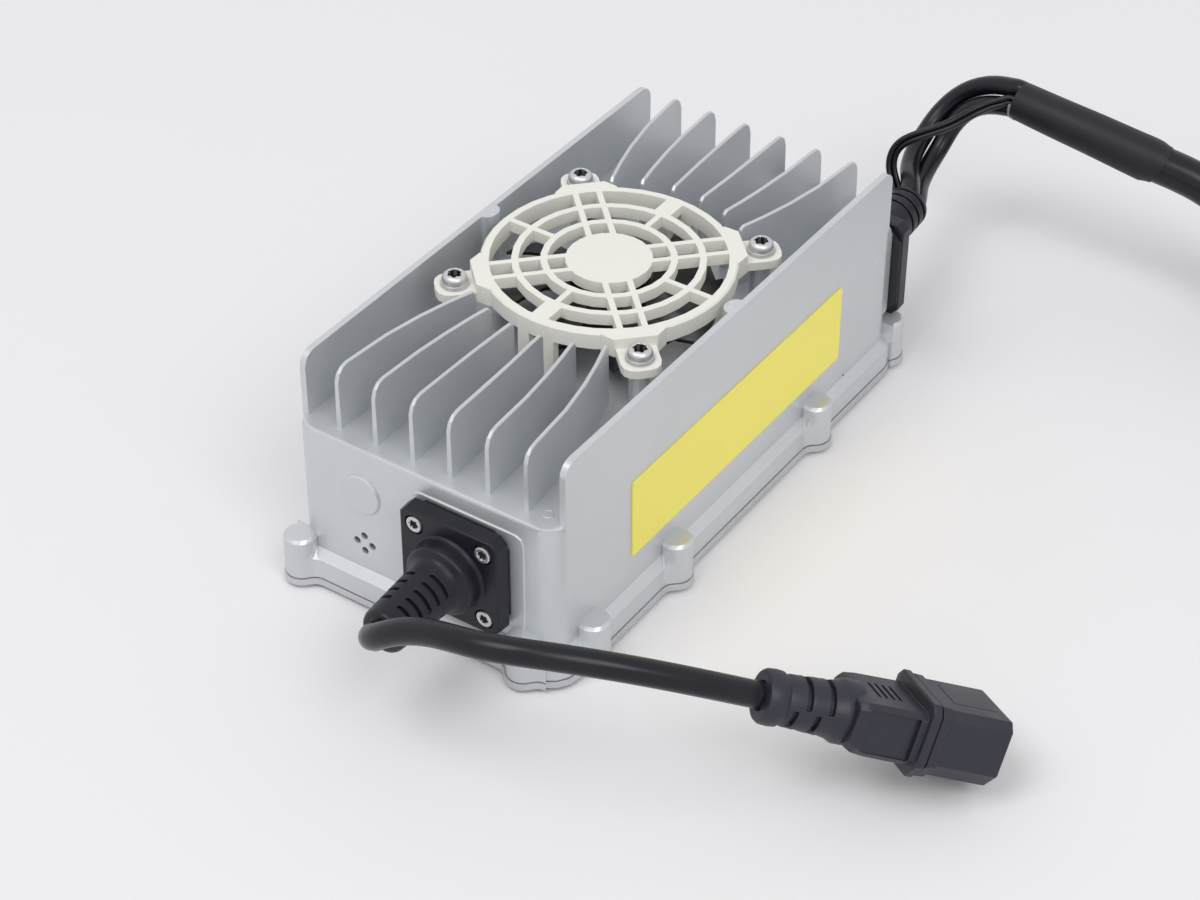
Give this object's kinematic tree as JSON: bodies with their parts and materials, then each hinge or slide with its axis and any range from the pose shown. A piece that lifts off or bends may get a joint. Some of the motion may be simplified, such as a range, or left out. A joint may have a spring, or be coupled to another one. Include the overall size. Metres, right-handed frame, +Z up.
{
  "type": "forklift battery charger",
  "caption": "Finned cast charger housing with a top fan under a round guard, a corded mains plug at one end and a battery lead at the other.",
  "frame": {"origin": "on the table under the middle of the housing, which is the middle of the charger's length and width without its leads", "axes": "+Z up; -Y is the end face with the mains lead, +Y the end face with the output leads, +X the side with the label"},
  "size_m": [0.4319, 0.441, 0.0853],
  "materials": {
    "cast_aluminium": "satin die casting",
    "cover_metal": "satin",
    "plain_aluminium": "plain",
    "guard_plastic": "cream, moulded",
    "fan_plastic": "black, moulded",
    "black_rubber": "matt, moulded",
    "plug_plastic": "black, moulded",
    "cord_jacket": "smooth black jacket",
    "screw_steel": "bright",
    "contact_metal": "plated",
    "label_yellow": "satin film",
    "board": "solder mask",
    "core_grey": "matt",
    "copper_winding": "enamelled wire",
    "light_plastic": "clear, smoky"
  },
  "bodies": {
    "base": {"ac_gland": "black_rubber", "ac_gland_screw_1": "screw_steel", "ac_gland_screw_2": "screw_steel", "ac_gland_screw_3": "screw_steel", "ac_gland_screw_4": "screw_steel", "ac_lead": "cord_jacket", "ac_seal": "black_rubber", "capacitor_1": "plain_aluminium", "capacitor_2": "plain_aluminium", "choke": "copper_winding", "circuit_board": "board", "connector_body": "plug_plastic", "connector_contact_1": "contact_metal", "connector_contact_2": "contact_metal", "cover_gasket": "black_rubber", "cover_plate": "cover_metal", "cover_screw_1": "screw_steel", "cover_screw_2": "screw_steel", "cover_screw_3": "screw_steel", "cover_screw_4": "screw_steel", "cover_screw_5": "screw_steel", "cover_screw_6": "screw_steel", "cover_screw_7": "screw_steel", "cover_screw_8": "screw_steel", "cover_screw_9": "screw_steel", "dc_gland": "black_rubber", "dc_gland_screw_1": "screw_steel", "dc_gland_screw_2": "screw_steel", "dc_gland_screw_3": "screw_steel", "dc_gland_screw_4": "screw_steel", "dc_seal": "black_rubber", "fan_guard": "guard_plastic", "fan_screw_1": "screw_steel", "fan_screw_2": "screw_steel", "fan_screw_3": "screw_steel", "fan_screw_4": "screw_steel", "fan_stator": "copper_winding", "heat_bar": "plain_aluminium", "housing": "cast_aluminium", "lead_sleeve": "cord_jacket", "output_coil": "cord_jacket", "output_cord": "cord_jacket", "output_lead_1": "cord_jacket", "output_lead_2": "cord_jacket", "output_tail": "cord_jacket", "plug_body": "plug_plastic", "plug_pin_1": "contact_metal", "plug_pin_2": "contact_metal", "plug_pin_3": "contact_metal", "power_device_1": "core_grey", "power_device_2": "core_grey", "power_device_3": "core_grey", "side_label": "label_yellow", "signal_lead": "cord_jacket", "status_light": "light_plastic", "transformer_core": "core_grey"},
    "rotor": {"fan_rotor": "fan_plastic"}
  },
  "joints": [
    {"name": "fan_spin", "type": "hinge", "parent": "base", "child": "rotor", "pos_m": [0, 0, 0.0725], "axis": [0, 0, 1], "continuous": true}
  ]
}
